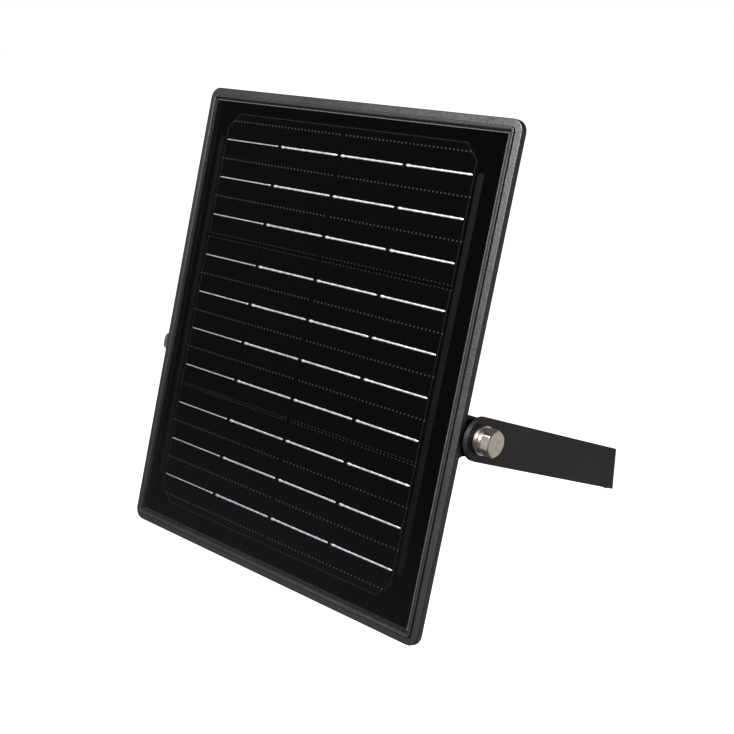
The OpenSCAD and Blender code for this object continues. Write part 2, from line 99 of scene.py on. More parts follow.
@dataclass(frozen=True)
class PanelPlace:
    """Where the panel's own directions lie in the row frame."""

    pivot_drop: float = 18.7
    pivot_depth: float = 12.4

    @property
    def pivot(self) -> Vector:
        """The tilt axis, in metres."""
        return Vector(frame["record"]["behaviour"]["joints"][0]["pos_m"])

    @property
    def lean(self) -> float:
        """Angle of the face back from upright, in radians."""
        entry = next(m for m in frame["record"]["mounts"] if m["name"] == "cable_entry")
        return math.atan2(-entry["axis"][1], -entry["axis"][2])

    @property
    def origin(self) -> Vector:
        """Middle of the front crest, in metres."""
        turn = Matrix.Rotation(math.pi / 2 - self.lean, 3, "X")
        return self.pivot + turn @ Vector((0, self.pivot_drop * MM, self.pivot_depth * MM))

    def matrix(self) -> Matrix:
        """Turns panel millimetres into row metres."""
        turn = Matrix.Rotation(math.pi / 2 - self.lean, 4, "X")
        return Matrix.Translation(self.origin) @ turn @ Matrix.Scale(MM, 4)

    def axle(self, x: float) -> Matrix:
        """Puts a turned part's +Z along the tilt axis, starting at x, in panel millimetres."""
        turn = Matrix.Rotation(math.pi / 2, 4, "Z") @ Matrix.Rotation(math.pi / 2, 4, "X")
        return Matrix.Translation((x, -self.pivot_drop, -self.pivot_depth)) @ turn


PLACE = PanelPlace()
ROW = Matrix.Scale(MM, 4)


# Node graphs -------------------------------------------------------------------------------


def scaled(colour: Colour, factor: float) -> Colour:
    """A colour made darker or lighter."""
    return tuple(c * factor for c in colour)


class Nodes:
    """A node tree, with short calls for the nodes that it is made from."""

    def __init__(self, tree: bpy.types.NodeTree) -> None:
        """Empties the tree."""
        self.tree = tree
        tree.nodes.clear()

    def add(self, kind: str, **settings: object) -> bpy.types.Node:
        """Adds a node.

        Args:
            kind: the node's type name.
            **settings: properties to set on it.

        Returns:
            The node.
        """
        node = self.tree.nodes.new(kind)
        for key, value in settings.items():
            setattr(node, key, value)
        return node

    def join(self, value: object, socket: Socket) -> None:
        """Links an output to a socket, or sets the socket to a plain value.

        Args:
            value: an output, a number, a vector, or a colour of three.
            socket: the input.
        """
        if isinstance(value, Socket):
            self.tree.links.new(value, socket)
        elif isinstance(value, tuple) and len(value) < len(socket.default_value):
            socket.default_value = (*value, 1)
        else:
            socket.default_value = value

    def calc(self, operation: str, *values: object) -> Socket:
        """One Math node.

        Args:
            operation: the node's operation.
            *values: outputs or numbers.

        Returns:
            Its result.
        """
        node = self.add("ShaderNodeMath", operation=operation)
        for value, socket in zip(values, node.inputs):
            self.join(value, socket)
        return node.outputs[0]

    def dot(self, first: object, second: object) -> Socket:
        """Dot product of two directions.

        Args:
            first: an output or a vector.
            second: an output or a vector.

        Returns:
            The product.
        """
        node = self.add("ShaderNodeVectorMath", operation="DOT_PRODUCT")
        self.join(first, node.inputs[0])
        self.join(second, node.inputs[1])
        return node.outputs["Value"]

    def spread(self, value: object, start: float, stop: float, low: float, high: float,
               smooth: bool = False) -> Socket:
        """Maps a range to another and holds it there.

        Args:
            value: what is mapped.
            start: the value that gives low.
            stop: the value that gives high.
            low: result at start.
            high: result at stop.
            smooth: ease in and out.

        Returns:
            The mapped value.
        """
        node = self.add("ShaderNodeMapRange", interpolation_type="SMOOTHSTEP" if smooth else "LINEAR")
        for number, socket in zip((value, start, stop, low, high), node.inputs):
            self.join(number, socket)
        return node.outputs[0]

    def tint(self, factor: object, first: object, second: object) -> Socket:
        """Mixes two colours.

        Args:
            factor: 0 for the first, 1 for the second.
            first: an output or a colour.
            second: an output or a colour.

        Returns:
            The mixed colour.
        """
        node = self.add("ShaderNodeMix", data_type="RGBA")
        for value, socket in ((factor, 0), (first, 6), (second, 7)):
            self.join(value, node.inputs[socket])
        return node.outputs[2]

    def layer(self, factor: object, first: bpy.types.Node, second: bpy.types.Node) -> bpy.types.Node:
        """Mixes two shaders.

        Args:
            factor: 0 for the first, 1 for the second.
            first: a shader node.
            second: a shader node.

        Returns:
            The mix node.
        """
        node = self.add("ShaderNodeMixShader")
        for value, socket in zip((factor, first.outputs[0], second.outputs[0]), node.inputs):
            self.join(value, socket)
        return node


class Graph(Nodes):
    """The node tree of one material."""

    NOISE_LOW = 0.3
    NOISE_HIGH = 0.7
    EDGE_FROM = 0.997
    EDGE_FULL = 0.90

    def __init__(self, name: str) -> None:
        """Starts an empty material.

        Args:
            name: the material's name.
        """
        self.material = bpy.data.materials.new(name)
        self.material.use_nodes = True
        super().__init__(self.material.node_tree)
        self.out = self.add("ShaderNodeOutputMaterial")

    def ramp(self, noise: Socket, low: float = 0.0, high: float = 1.0) -> Socket:
        """Stretches a noise's middle range over low..high."""
        return self.spread(noise, self.NOISE_LOW, self.NOISE_HIGH, low, high)

    def place(self) -> Socket:
        """Object coordinates, in metres of the row frame."""
        return self.add("ShaderNodeTexCoord").outputs["Object"]

    def panel_place(self) -> Socket:
        """Coordinates in the panel's own directions.

        Returns:
            The coordinates, in millimetres.
        """
        node = self.add("ShaderNodeMapping", vector_type="POINT")
        turn = PLACE.lean - math.pi / 2
        node.inputs["Scale"].default_value = (1 / MM,) * 3
        node.inputs["Rotation"].default_value = (turn, 0, 0)
        node.inputs["Location"].default_value = -(Matrix.Rotation(turn, 3, "X") @ PLACE.origin) / MM
        self.join(self.place(), node.inputs["Vector"])
        return node.outputs[0]

    def stretched(self, source: Socket, scale: tuple[float, float, float],
                  shift: tuple[float, float, float] = (0, 0, 0)) -> Socket:
        """Scales and shifts coordinates.

        Args:
            source: the coordinates.
            scale: factor along each direction.
            shift: what is added after scaling.

        Returns:
            The changed coordinates.
        """
        node = self.add("ShaderNodeMapping", vector_type="POINT")
        node.inputs["Scale"].default_value = scale
        node.inputs["Location"].default_value = shift
        self.join(source, node.inputs["Vector"])
        return node.outputs[0]

    def split(self, source: Socket) -> list[Socket]:
        """The X, Y and Z of coordinates.

        Args:
            source: the coordinates.

        Returns:
            The three values.
        """
        node = self.add("ShaderNodeSeparateXYZ")
        self.join(source, node.inputs[0])
        return list(node.outputs)

    def noise(self, source: Socket, size: float, detail: float = 2.0, rough: float = 0.5) -> Socket:
        """Cloudy noise from 0 to 1.

        Args:
            source: coordinates.
            size: size of one patch, in the coordinates' unit.
            detail: octaves.
            rough: how strong the finer octaves are.

        Returns:
            The noise value.
        """
        node = self.add("ShaderNodeTexNoise")
        self.join(source, node.inputs["Vector"])
        node.inputs["Scale"].default_value = 1 / size
        node.inputs["Detail"].default_value = detail
        node.inputs["Roughness"].default_value = rough
        return node.outputs[0]

    def spots(self, source: Socket, size: float) -> Socket:
        """Distance to the nearest of scattered points.

        Args:
            source: coordinates.
            size: size of the patch that holds one point, in the coordinates' unit.

        Returns:
            The distance, in patches.
        """
        node = self.add("ShaderNodeTexVoronoi")
        self.join(source, node.inputs["Vector"])
        node.inputs["Scale"].default_value = 1 / size
        return node.outputs["Distance"]

    def bump(self, height: object, strength: float, depth: float,
             under: Socket | None = None) -> Socket:
        """A bumped normal.

        Args:
            height: the height from 0 to 1.
            strength: how much of it shows.
            depth: the height's full depth, in millimetres.
            under: a normal to add to.

        Returns:
            The normal.
        """
        node = self.add("ShaderNodeBump")
        node.inputs["Strength"].default_value = strength
        node.inputs["Distance"].default_value = depth * MM
        self.join(height, node.inputs["Height"])
        if under is not None:
            self.join(under, node.inputs["Normal"])
        return node.outputs[0]

    def worn_edge(self, radius: float) -> Socket:
        """1 along outer and inner edges, 0 on flat faces.

        Args:
            radius: reach from the edge, in millimetres.

        Returns:
            The mask.
        """
        soft = self.add("ShaderNodeBevel", samples=4)
        soft.inputs["Radius"].default_value = radius * MM
        flat = self.add("ShaderNodeNewGeometry").outputs["Normal"]
        return self.spread(self.dot(soft.outputs[0], flat), self.EDGE_FROM, self.EDGE_FULL, 0.0, 1.0)

    def surface(self, colour: object, roughness: object, normal: object = None,
                **plain: float) -> bpy.types.Node:
        """Ends the graph in a Principled shader.

        Args:
            colour: base colour.
            roughness: roughness.
            normal: bumped normal, if any.
            **plain: other sockets by name, with _ for a space, as plain numbers.

        Returns:
            The shader node.
        """
        shader = self.add("ShaderNodeBsdfPrincipled")
        self.join(colour, shader.inputs["Base Color"])
        self.join(roughness, shader.inputs["Roughness"])
        if normal is not None:
            self.join(normal, shader.inputs["Normal"])
        for key, value in plain.items():
            shader.inputs[key.replace("_", " ")].default_value = value
        self.join(shader.outputs[0], self.out.inputs["Surface"])
        return shader


# Finishes ----------------------------------------------------------------------------------


@dataclass(frozen=True)
class MouldedPlastic:
    """Black moulding with a fine spark-eroded skin."""

    name: str
    colour: Colour = (0.0036, 0.0037, 0.0038)
    roughness: float = 0.42
    grain: float = 0.26
    depth: float = 0.035
    gloss: float = 0.5
    patch: float = 1.1
    mottled: float = 0.8

    def build(self) -> bpy.types.Material:
        """Skin grain, cloudy tone, rubbed edges.

        Returns:
            The material.
        """
        g = Graph(self.name)
        at = g.place()
        grain = g.noise(at, self.grain * MM, 3, 0.6)
        pits = g.spots(at, self.grain * 1.7 * MM)
        mottle = g.noise(at, self.patch * MM, 2, 0.6)
        cloud = g.noise(at, 22 * MM, 3, 0.55)
        edge = g.worn_edge(0.45)
        scuff = g.calc("MULTIPLY", edge, g.spread(g.noise(at, 3 * MM, 3), 0.45, 0.7, 0.0, 0.6))
        rubbed = tuple(c * 1.75 + 0.004 for c in self.colour)
        tone = g.tint(g.ramp(grain), scaled(self.colour, 0.72), self.colour)
        tone = g.tint(g.ramp(cloud, 0.0, 0.35), tone, scaled(self.colour, 1.3))
        tone = g.tint(g.spread(mottle, 0.42, 0.60, 0.0, self.mottled), tone, scaled(self.colour, 4.5))
        tone = g.tint(g.calc("MULTIPLY", scuff, 0.5), tone, rubbed)
        rough = g.calc("ADD", g.ramp(cloud, self.roughness - 0.04, self.roughness + 0.05),
                       g.spread(mottle, 0.42, 0.60, 0.12, -0.10))
        height = g.calc("ADD", g.calc("MULTIPLY", grain, 0.7), g.calc("MULTIPLY", pits, 0.3))
        normal = g.bump(height, 0.6, self.depth, g.bump(mottle, 0.8, self.depth * 3))
        g.surface(tone, rough, normal, Specular_IOR_Level=self.gloss)
        return g.material


@dataclass(frozen=True)
class PowderCoat:
    """Satin powder coat over sheet metal, with a slight orange peel."""

    name: str
    colour: Colour = (0.0080, 0.0080, 0.0084)
    roughness: float = 0.46
    gloss: float = 0.24

    def build(self) -> bpy.types.Material:
        """Orange peel, fine speckle, thin coat on the edges.

        Returns:
            The material.
        """
        g = Graph(self.name)
        at = g.place()
        peel = g.noise(at, 1.5 * MM, 2, 0.45)
        speckle = g.noise(at, 0.22 * MM, 2, 0.6)
        cloud = g.noise(at, 30 * MM, 2)
        edge = g.worn_edge(0.5)
        tone = g.tint(g.spread(speckle, 0.35, 0.7, 0.0, 1.0), self.colour, scaled(self.colour, 1.35))
        tone = g.tint(g.spread(cloud, 0.35, 0.7, 0.0, 0.3), tone, scaled(self.colour, 0.75))
        thin = g.calc("MULTIPLY", edge, g.spread(g.noise(at, 4 * MM, 3), 0.3, 0.65, 0.2, 0.8))
        tone = g.tint(thin, tone, scaled(self.colour, 2.4))
        rough = g.ramp(cloud, self.roughness - 0.04, self.roughness + 0.06)
        normal = g.bump(speckle, 0.25, 0.012, g.bump(peel, 0.35, 0.03))
        g.surface(tone, rough, normal, Specular_IOR_Level=self.gloss)
        return g.material


@dataclass(frozen=True)
class TurnedMetal:
    """Bare metal with fine rings about the tilt axis, or a fine drawn grain along X."""

    name: str
    colour: Colour = (0.62, 0.575, 0.525)
    roughness: float = 0.30
    rings: bool = True
    ring: float = 0.16

    def build(self) -> bpy.types.Material:
        """Tool marks, cloudy polish and small nicks.

        Returns:
            The material.
        """
        g = Graph(self.name)
        at = g.place()
        if self.rings:
            x, y, z = g.split(g.stretched(at, (1 / MM,) * 3, tuple(-PLACE.pivot / MM)))
            radius = g.calc("SQRT", g.calc("ADD", g.calc("MULTIPLY", y, y), g.calc("MULTIPLY", z, z)))
            joined = g.add("ShaderNodeCombineXYZ")
            g.join(radius, joined.inputs[0])
            g.join(g.calc("MULTIPLY", x, 0.4), joined.inputs[1])
            marks = g.noise(joined.outputs[0], self.ring, 3, 0.65)
        else:
            marks = g.noise(g.stretched(at, (60, 5000, 5000)), 1.0, 3, 0.6)
        cloud = g.noise(at, 2.2 * MM, 3, 0.6)
        nicks = g.spread(g.noise(at, 0.5 * MM, 2, 0.7), 0.66, 0.74, 0.0, 1.0)
        edge = g.worn_edge(0.25)
        tone = g.tint(g.ramp(cloud), scaled(self.colour, 0.68), self.colour)
        tone = g.tint(g.calc("MULTIPLY", edge, 0.6), tone, scaled(self.colour, 1.35))
        tone = g.tint(g.calc("MULTIPLY", nicks, 0.5), tone, scaled(self.colour, 0.4))
        rough = g.calc("ADD", g.ramp(marks, self.roughness - 0.05, self.roughness + 0.08),
                       g.calc("MULTIPLY", nicks, 0.15))
        normal = g.bump(nicks, -0.2, 0.01, g.bump(marks, 0.35, 0.012))
        g.surface(tone, rough, normal, Metallic=1.0)
        return g.material


@dataclass(frozen=True)
class SoftRubber:
    """Matt rubber or nylon with a light bloom."""

    name: str
    colour: Colour = (0.010, 0.010, 0.0105)
    roughness: float = 0.72
    grain: float = 0.3

    def build(self) -> bpy.types.Material:
        """Fine grain and pale bloom in patches.

        Returns:
            The material.
        """
        g = Graph(self.name)
        at = g.place()
        grain = g.noise(at, self.grain * MM, 3, 0.6)
        bloom = g.spread(g.noise(at, 3 * MM, 3, 0.6), 0.45, 0.75, 0.0, 0.5)
        tone = g.tint(bloom, self.colour, scaled(self.colour, 1.8))
        rough = g.ramp(grain, self.roughness - 0.06, self.roughness + 0.08)
        g.surface(tone, rough, g.bump(grain, 0.4, 0.02), Specular_IOR_Level=0.35)
        return g.material


@dataclass(frozen=True)
class PolishedGlass:
    """Flat cover glass: clear behind, mirror-like in front, with faint wipe marks and dust."""

    name: str
    clear: Colour = (0.93, 0.95, 0.96)
    index: float = 1.45

    def build(self) -> bpy.types.Material:
        """A clear layer under a Fresnel gloss.

        Returns:
            The material.
        """
        g = Graph(self.name)
        at = g.place()
        wipe = g.noise(g.stretched(at, (18, 60, 60)), 1.0, 4, 0.6)
        dust = g.spread(g.noise(at, 0.35 * MM, 2, 0.75), 0.70, 0.78, 0.0, 1.0)
        see = g.add("ShaderNodeBsdfTransparent")
        see.inputs[0].default_value = (*self.clear, 1)
        gloss = g.add("ShaderNodeBsdfGlossy")
        gloss.inputs["Color"].default_value = (1, 1, 1, 1)
        g.join(g.spread(wipe, 0.4, 0.7, 0.02, 0.09), gloss.inputs["Roughness"])
        powder = g.add("ShaderNodeBsdfDiffuse")
        powder.inputs[0].default_value = (0.5, 0.5, 0.5, 1)
        fresnel = g.add("ShaderNodeFresnel")
        fresnel.inputs[0].default_value = self.index
        pane = g.layer(fresnel.outputs[0], see, gloss)
        dusty = g.layer(g.calc("MULTIPLY", dust, g.spread(wipe, 0.4, 0.7, 0.001, 0.008)), pane, powder)
        g.join(dusty.outputs[0], g.out.inputs["Surface"])
        return g.material


@dataclass(frozen=True)
class GroundGlass:
    """Ground edge of the cover glass."""

    name: str
    colour: Colour = (0.070, 0.074, 0.074)

    def build(self) -> bpy.types.Material:
        """Grinding marks that run through the thickness.

        Returns:
            The material.
        """
        g = Graph(self.name)
        at = g.place()
        marks = g.noise(g.stretched(at, (2600, 700, 2600)), 1.0, 3, 0.6)
        chips = g.spread(g.noise(at, 1.2 * MM, 3, 0.7), 0.6, 0.72, 0.0, 1.0)
        tone = g.tint(g.ramp(marks), scaled(self.colour, 0.6), self.colour)
        tone = g.tint(g.calc("MULTIPLY", chips, 0.7), tone, scaled(self.colour, 2.2))
        g.surface(tone, g.ramp(marks, 0.25, 0.45), g.bump(marks, 0.4, 0.02), Specular_IOR_Level=0.6)
        return g.material


@dataclass(frozen=True)
class ClearLayer:
    """Bonded clear face or film: nothing but a slight tint and faint wrinkles in it."""

    name: str
    low: Colour = (0.975, 0.98, 0.98)
    high: Colour = (0.995, 0.995, 0.995)

    def build(self) -> bpy.types.Material:
        """Cloudy tint on a transparent layer.

        Returns:
            The material.
        """
        g = Graph(self.name)
        see = g.add("ShaderNodeBsdfTransparent")
        g.join(g.tint(g.noise(g.place(), 12 * MM, 2), self.low, self.high), see.inputs[0])
        g.join(see.outputs[0], g.out.inputs["Surface"])
        return g.material


@dataclass(frozen=True)
class CellFace:
    """Coated silicon with fine fingers, dotted lines midway between the bars and a rim line."""

    name: str
    colour: Colour = (0.0003, 0.0003, 0.0004)
    print_colour: Colour = (0.045, 0.045, 0.046)
    centre: Point2 = (-3.2, 1.1)
    block: Point2 = (148.0, 184.3)
    cut: float = 7.0
    bar_pitch: float = 17.4
    bar_phase: float = 8.35
    row_limits: Point2 = (-35.6, 35.2)
    row_shifts: Point2 = (-0.8, 1.5)
    finger_pitch: float = 1.25
    dot_pitch: float = 2.1
    dot_reach: Point2 = (0.18, 0.42)
    rim_inset: float = 0.7
    clouds: float = 26.0
    etching: float = 0.05

    def build(self) -> bpy.types.Material:
        """Print pattern over a near-black coat, with the lines set row by row.

        Returns:
            The material.
        """
        g = Graph(self.name)
        at = g.panel_place()
        x, y, _ = g.split(g.stretched(at, (1, 1, 1), (-self.centre[0], -self.centre[1], 0)))
        fingers = g.spread(g.calc("PINGPONG", x, self.finger_pitch / 2), 0.02, 0.07, 1.0, 0.0)
        low = g.calc("MULTIPLY", g.calc("LESS_THAN", y, self.row_limits[0]), self.row_shifts[0])
        top = g.calc("MULTIPLY", g.calc("GREATER_THAN", y, self.row_limits[1]), self.row_shifts[1])
        phase = g.calc("ADD", self.bar_phase, g.calc("ADD", top, low))
        half = self.bar_pitch / 2
        away = g.calc("PINGPONG", g.calc("SUBTRACT", y, phase), half)
        line = g.spread(away, half - self.dot_reach[1], half - self.dot_reach[0], 0.0, 1.0)
        dots = g.spread(g.calc("PINGPONG", x, self.dot_pitch / 2), 0.22, 0.45, 1.0, 0.0)
        dotted = g.calc("MULTIPLY", line, dots)
        ax, ay = g.calc("ABSOLUTE", x), g.calc("ABSOLUTE", y)
        side = g.calc("SUBTRACT", ax, self.block[0] / 2)
        end = g.calc("SUBTRACT", ay, self.block[1] / 2)
        slant = g.calc("MULTIPLY", math.sqrt(0.5),
                       g.calc("SUBTRACT", g.calc("ADD", ax, ay), sum(self.block) / 2 - self.cut))
        inside = g.calc("MAXIMUM", slant, g.calc("MAXIMUM", side, end))
        rim = g.spread(g.calc("ABSOLUTE", g.calc("ADD", inside, self.rim_inset)), 0.08, 0.2, 1.0, 0.0)
        cloud = g.noise(at, self.clouds, 3, 0.55)
        tone = g.tint(g.ramp(cloud), scaled(self.colour, 0.75), self.colour)
        for marks, strength in ((fingers, 0.01), (dotted, 0.6), (rim, 0.2)):
            tone = g.tint(g.calc("MULTIPLY", marks, strength), tone, self.print_colour)
        etched = g.noise(at, self.etching, 2)
        g.surface(tone, g.ramp(cloud, 0.66, 0.76), g.bump(etched, 0.15, 0.003), Specular_IOR_Level=0.0)
        return g.material


@dataclass(frozen=True)
class FlatSheet:
    """Plain foil, board or moulding with a fine weave of tone."""

    name: str
    colour: Colour = (0.0020, 0.0020, 0.0021)
    roughness: float = 0.5
    patch: float = 1.4
    gloss: float = 0.05

    def build(self) -> bpy.types.Material:
        """Fine mottling and a soft bump.

        Returns:
            The material.
        """
        g = Graph(self.name)
        at = g.place()
        fine = g.noise(at, self.patch * MM, 3, 0.6)
        wide = g.noise(at, 18 * MM, 2)
        tone = g.tint(g.ramp(fine), scaled(self.colour, 0.8), self.colour)
        tone = g.tint(g.ramp(wide, 0.0, 0.3), tone, scaled(self.colour, 1.25))
        rough = g.ramp(fine, self.roughness - 0.06, self.roughness + 0.06)
        g.surface(tone, rough, g.bump(fine, 0.3, 0.02), Specular_IOR_Level=self.gloss)
        return g.material


@dataclass(frozen=True)
class SolderedTin:
    """Tinned strip: drawn along X, or blobby where it is soldered."""

    name: str
    colour: Colour = (0.62, 0.63, 0.65)
    roughness: float = 0.5
    blobs: bool = False

    def build(self) -> bpy.types.Material:
        """Streaks or solder dimples under a dull shine.

        Returns:
            The material.
        """
        g = Graph(self.name)
        at = g.panel_place()
        if self.blobs:
            grain = g.noise(at, 0.35, 3, 0.6)
        else:
            grain = g.noise(g.stretched(at, (0.25, 8, 8)), 1.0, 3, 0.6)
        cloud = g.noise(at, 6.0, 3, 0.6)
        tone = g.tint(g.ramp(cloud), scaled(self.colour, 0.62), self.colour)
        rough = g.ramp(grain, self.roughness - 0.1, self.roughness + 0.1)
        g.surface(tone, rough, g.bump(grain, 0.5, 0.03), Metallic=0.85)
        return g.material


@functools.cache
def dressed(finish: object) -> bpy.types.Material:
    """The one material of a finish."""
    return finish.build()


FRAME_SKIN = MouldedPlastic("moulded frame skin")
COVER_SKIN = MouldedPlastic("moulded cover skin", (0.011, 0.0112, 0.0115), 0.48, 0.34, 0.035)
BOX_SKIN = MouldedPlastic("moulded box skin", (0.012, 0.0122, 0.0125), 0.42, 0.22, 0.02, mottled=0.3)
BRACKET_COAT = PowderCoat("satin powder coat")
BOLT_STEEL = TurnedMetal("turned steel")
SCREW_STEEL = TurnedMetal("screw steel", (0.60, 0.59, 0.57), 0.33, rings=False)
BRASS = TurnedMetal("turned brass", (0.70, 0.50, 0.22), 0.32)
COPPER = TurnedMetal("rolled copper", (0.72, 0.40, 0.24), 0.35, rings=False)
RUBBER = SoftRubber("black rubber")
SEALANT = SoftRubber("sealing bead", (0.008, 0.008, 0.0085), 0.5, 0.8)
NYLON = SoftRubber("black nylon", (0.014, 0.014, 0.0145), 0.42, 0.5)
GREY_RUBBER = SoftRubber("grey rubber", (0.05, 0.05, 0.052), 0.65, 0.3)
PANE = PolishedGlass("polished glass")
PANE_EDGE = GroundGlass("ground glass edge")
BONDED = ClearLayer("bonded face")
FILM = ClearLayer("clear film")
CELL = CellFace("coated silicon")
BACKSHEET = FlatSheet("black backsheet")
COATED = FlatSheet("black coated strip", (0.0016, 0.0016, 0.0016), 0.45, 0.8)
BOARD = FlatSheet("solder mask", (0.012, 0.085, 0.032), 0.35, 1.0, 0.5)
TERMINAL = FlatSheet("green moulding", (0.02, 0.16, 0.07), 0.4, 0.6, 0.5)
EPOXY = FlatSheet("black epoxy", (0.015, 0.015, 0.016), 0.5, 0.4, 0.4)
TIN = SolderedTin("tinned strip")
SOLDER = SolderedTin("solder", (0.86, 0.87, 0.88), 0.42, True)


# Workpieces --------------------------------------------------------------------------------


def rounded(corners: list[tuple[float, float, float]], steps: int = 4) -> list[Point2]:
    """Rounds the corners of a closed outline.

    Args:
        corners: x, y and the radius of each corner, in order.
        steps: chords in each round corner.

    Returns:
        The points of the rounded outline.
    """
    points: list[Point2] = []
    for i, (x, y, radius) in enumerate(corners):
        here = Vector((x, y))
        back = (Vector(corners[i - 1][:2]) - here).normalized()
        ahead = (Vector(corners[(i + 1) % len(corners)][:2]) - here).normalized()
        half = back.angle(ahead) / 2
        if radius <= 0 or half > math.radians(89):
            points.append((x, y))
            continue
        centre = here + (back + ahead).normalized() * (radius / math.sin(half))
        first = here + back * (radius / math.tan(half)) - centre
        last = here + ahead * (radius / math.tan(half)) - centre
        turn = first.angle_signed(last)
        for k in range(steps + 1):
            arm = Matrix.Rotation(-turn * k / steps, 2) @ first
            points.append(tuple(centre + arm))
    return points


class Workpiece:
    """A mesh in the making, in millimetres, that ends as one finished piece."""

    FOLD = 28.0
    MERGE = 1e-4

    def __init__(self, name: str) -> None:
        """Starts the empty mesh of a named piece."""
        self.name = name
        self.bm = bmesh.new()

    @classmethod
    def softened(cls, name: str, node: str, width: float, steps: int = 2) -> "Workpiece":
        """Starts from a node's shape, with its sharp edges rounded.

        Args:
            name: the piece's name.
            node: the node whose shape it takes.
            width: width of the rounding.
            steps: chords across the rounding.

        Returns:
            The workpiece, in millimetres of the row frame.
        """
        piece = cls(name)
        bm = piece.bm
        bm.from_mesh(frame["nodes"][node].data)
        bmesh.ops.scale(bm, vec=(1 / MM,) * 3, verts=bm.verts)
        bmesh.ops.remove_doubles(bm, verts=bm.verts, dist=0.002)
        bmesh.ops.dissolve_limit(bm, angle_limit=math.radians(0.4), verts=bm.verts, edges=bm.edges)
        fold = math.radians(cls.FOLD)
        piece.bevel([e for e in bm.edges if e.is_manifold and e.calc_face_angle(0.0) > fold], width, steps)
        return piece

    def bevel(self, geom: list, width: float, steps: int) -> None:
        """Rounds edges.

        Args:
            geom: the edges.
            width: width of the rounding.
            steps: chords across it.
        """
        bmesh.ops.bevel(self.bm, geom=geom, offset=width, offset_type="OFFSET", segments=steps,
                        profile=0.5, affect="EDGES", clamp_overlap=True, material=-1)

    def put(self, place: Matrix, known: Iterable[bmesh.types.BMVert] = ()) -> None:
        """Moves every vertex that isn't a known one."""
        bmesh.ops.transform(self.bm, matrix=place, verts=[v for v in self.bm.verts if v not in known])

    def loft(self, rings: list, outline: Callable[[int, object], Vector], count: int,
             close: bool = True) -> None:
        """Draws a closed loop of vertices through a row of rings.

        Args:
            rings: what outline needs for each ring, in order.
            outline: gives the place of vertex k on a ring.
            count: vertices on each ring.
            close: join the last ring to the first, or cap both ends.
        """
        bm = self.bm
        mark = bm.verts.layers.int.get("k") or bm.verts.layers.int.new("k")
        verts = bmesh.ops.create_circle(bm, segments=count, radius=1.0)["verts"]
        for k, vert in enumerate(verts):
            vert[mark] = k
            vert.co = outline(k, rings[0])
        made = list(verts)
        edges = list({e for v in verts for e in v.link_edges})
        first = list(edges)
        for ring in rings[1:] + (rings[:1] if close else []):
            geom = bmesh.ops.extrude_edge_only(bm, edges=edges)["geom"]
            edges = [g for g in geom if isinstance(g, bmesh.types.BMEdge)]
            for vert in (g for g in geom if isinstance(g, bmesh.types.BMVert)):
                vert.co = outline(vert[mark], ring)
                made.append(vert)
        if close:
            bmesh.ops.remove_doubles(bm, verts=made, dist=self.MERGE)
        else:
            bmesh.ops.contextual_create(bm, geom=first)
            bmesh.ops.contextual_create(bm, geom=edges)

    def frame_loft(self, width: float, height: float, profile: list[Point2],
                   radius: Callable[[float], float], steps: int = 8) -> None:
        """Runs a closed section round a rectangle with round corners.

        Args:
            width: outer width.
            height: outer height.
            profile: inset from the outer edge, and height, of each point of the section.
            radius: corner radius at an inset.
            steps: chords in each corner.
        """

        def spot(k: int, point: Point2) -> Vector:
            """Places a vertex of the ring that a section point draws.

            Args:
                k: number of the vertex.
                point: the section point.

            Returns:
                Its place.
            """
            inset, z = point
            r = radius(inset)
            quarter, j = divmod(k, steps + 1)
            angle = math.pi / 2 * (quarter + j / steps)
            side = (1, -1, -1, 1)[quarter], (1, 1, -1, -1)[quarter]
            return Vector((side[0] * (width / 2 - inset - r) + r * math.cos(angle),
                           side[1] * (height / 2 - inset - r) + r * math.sin(angle), z))

        self.loft(profile, spot, 4 * (steps + 1))

    def turned(self, profile: list[Point2], steps: int, place: Matrix) -> None:
        """Turns a closed section (radius, height) about Z.

        Args:
            profile: the section's points in order.
            steps: chords round the circle.
            place: where the turned shape goes.
        """
        bm = self.bm
        known = set(bm.verts)
        verts = [bm.verts.new((r, 0, z)) for r, z in profile]
        edges = [bm.edges.new((verts[i - 1], verts[i])) for i in range(len(verts))]
        bmesh.ops.spin(bm, geom=verts + edges, cent=(0, 0, 0), axis=(0, 0, 1), dvec=(0, 0, 0),
                       angle=math.tau, steps=steps, use_merge=True, use_duplicate=False)
        new = [v for v in bm.verts if v not in known]
        bmesh.ops.remove_doubles(bm, verts=new, dist=self.MERGE)
        self.put(place, known)

    def slab(self, outline: Iterable[Point2], thick: float, soft: float, place: Matrix) -> None:
        """Extrudes an outline along Z and rounds its rims.

        Args:
            outline: the outline's points in order.
            thick: length along Z.
            soft: rounding of both rims.
            place: where the slab goes.
        """
        bm = self.bm
        known = set(bm.verts)
        base = bm.faces.new([bm.verts.new((x, y, 0)) for x, y in outline])
        rim = list(base.edges)
        up = bmesh.ops.extrude_face_region(bm, geom=[base], use_keep_orig=True)["geom"]
        bmesh.ops.translate(bm, vec=(0, 0, thick), verts=[g for g in up if isinstance(g, bmesh.types.BMVert)])
        self.bevel(rim + [g for g in up if isinstance(g, bmesh.types.BMEdge)], soft, 3)
        self.put(place, known)

    def whole(self) -> list:
        """Everything in the mesh."""
        return self.bm.verts[:] + self.bm.edges[:] + self.bm.faces[:]

    def both_sides(self) -> None:
        """Adds the mirror image in X."""
        copy = bmesh.ops.duplicate(self.bm, geom=self.whole())["geom"]
        bmesh.ops.scale(self.bm, vec=(-1, 1, 1), verts=[g for g in copy if isinstance(g, bmesh.types.BMVert)])

